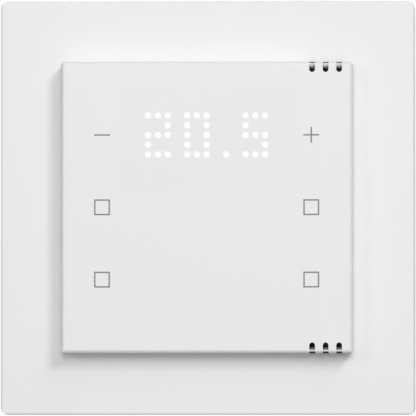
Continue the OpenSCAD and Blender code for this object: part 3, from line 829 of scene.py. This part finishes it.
surface("blank_label", [boss(label_outline, label_centre, laid)], label, "module")


# ---- Housing screws ----
# Four small self-tapping screws hold the rear cover to the bosses of the front cover.

dress(bright_zinc, "housing_screws")


# ---- Bus terminal ----
# The plug-in terminal has a red plus half and a dark minus half, clipped together. Each has two
# round wire entries, and its sign is raised between them.

TERMINAL_X = -9.0
POLE_PITCH = 5.75
SIGN_ARM = 0.75
SIGN_HALF_W = 0.16
terminal_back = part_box("terminal_plus")[1].y / MM
red = satin_plastic("red_plastic", (0.55, 0.022, 0.018), 0.38, 0.2, 0.006)
dark = satin_plastic("dark_plastic", (0.045, 0.045, 0.05), 0.4, 0.2, 0.006)
dress(red, "terminal_plus")
dress(dark, "terminal_minus")

sign_angles = np.radians(np.arange(0, 360, 3))
plus_r = cross(sign_angles, SIGN_ARM, SIGN_HALF_W)
plus_outline = np.stack([plus_r * np.cos(sign_angles), plus_r * np.sin(sign_angles)], axis=-1)
minus_outline = [(-SIGN_ARM, -SIGN_HALF_W), (SIGN_ARM, -SIGN_HALF_W),
                 (SIGN_ARM, SIGN_HALF_W), (-SIGN_ARM, SIGN_HALF_W)]
raised = [(-0.05, 0), (-0.05, 1), (0.12, 0.95), (0.12, 0)]
surface("plus_sign", [boss(plus_outline, (TERMINAL_X + POLE_PITCH / 2, terminal_back, 0), raised)],
        red, "bus_terminal")
surface("minus_sign", [boss(minus_outline, (TERMINAL_X - POLE_PITCH / 2, terminal_back, 0), raised)],
        dark, "bus_terminal")


# ---- Studio ----
# A white surround, a pale floor some way below, four soft lights in front, one low fill and two
# behind. The camera stands two metres off, a little to the right of the middle and below it.

CAMERA_AWAY = 2.0
CAMERA_TURN = math.radians(2.1)
CAMERA_RISE = math.radians(-1.3)
SENSOR = 36.0
LENS = 886.0
CLIP_START = 0.1
look_at = Vector((0.08 * MM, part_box("surround_frame")[0].y, -0.03 * MM))


def towards(turn, rise):
    """The direction (sin turn cos rise, -cos turn cos rise, sin rise), in front of the object."""
    return Vector((math.sin(turn) * math.cos(rise), -math.cos(turn) * math.cos(rise), math.sin(rise)))


view_line = towards(CAMERA_TURN, CAMERA_RISE)
camera_data = bpy.data.cameras.new("camera")
camera_data.lens = LENS
camera_data.sensor_width = SENSOR
camera_data.clip_start = CLIP_START
camera = bpy.data.objects.new("camera", camera_data)
camera.location = look_at + view_line * CAMERA_AWAY
camera.rotation_euler = (-view_line).to_track_quat("-Z", "Y").to_euler()
bpy.context.scene.collection.objects.link(camera)
bpy.context.scene.camera = camera


def soft_light(name, turn, rise, away, size, watts):
    """A square area light of a size in m that faces the object from a turn and a rise in degrees."""
    line = towards(math.radians(turn), math.radians(rise))
    data = bpy.data.lights.new(name, "AREA")
    data.shape = "SQUARE"
    data.size = size
    data.energy = watts
    light = bpy.data.objects.new(name, data)
    light.location = look_at + line * away
    light.rotation_euler = (-line).to_track_quat("-Z", "Y").to_euler()
    light.visible_camera = False
    bpy.context.scene.collection.objects.link(light)


soft_light("front_light", 0, 14, 1.4, 0.36, 4.9)
soft_light("right_light", 26, 28, 1.4, 0.36, 5.9)
soft_light("high_light", 38, 45, 1.4, 0.36, 1.5)
soft_light("left_light", -35, 14, 1.4, 0.36, 1.7)
soft_light("low_light", 0, -20, 1.4, 1.0, 2.0)
soft_light("back_light", 205, 40, 1.6, 0.9, 14)
soft_light("back_fill", 150, 15, 1.6, 0.9, 5)

WORLD_FILL = 0.235
world = bpy.data.worlds.new("studio")
bpy.context.scene.world = world
world.use_nodes = True
sky = world.node_tree
background = sky.nodes["Background"]
seen = sky.nodes.new("ShaderNodeLightPath")
strength = sky.nodes.new("ShaderNodeMapRange")
strength.inputs["To Min"].default_value = WORLD_FILL
strength.inputs["To Max"].default_value = 1.0
background.inputs["Color"].default_value = (1, 1, 1, 1)
sky.links.new(seen.outputs["Is Camera Ray"], strength.inputs["Value"])
sky.links.new(strength.outputs["Result"], background.inputs["Strength"])

FLOOR_HALF = 4.0
FLOOR_DROP = 0.5
FLOOR_GLOW = (0.5, 0.5, 0.5, 1)
floor_z = cad_low.z - FLOOR_DROP
floor_mesh = bpy.data.meshes.new("floor")
floor_mesh.from_pydata([(x * FLOOR_HALF, y * FLOOR_HALF, floor_z)
                        for x, y in ((-1, -1), (1, -1), (1, 1), (-1, 1))], [], [(0, 1, 2, 3)])
floor = bpy.data.objects.new("floor", floor_mesh)
bpy.context.scene.collection.objects.link(floor)
floor.visible_diffuse = False
paper = Finish("pale_floor", Roughness=0.9, Emission_Color=FLOOR_GLOW, Emission_Strength=1.0)
paper_tooth = paper.noise(4, 3)
paper.paint(Base_Color=paper.mix(paper_tooth, (0.78, 0.78, 0.78), (0.80, 0.80, 0.80)))
floor_mesh.materials.append(paper.material)
bpy.context.scene.view_settings.view_transform = "Standard"
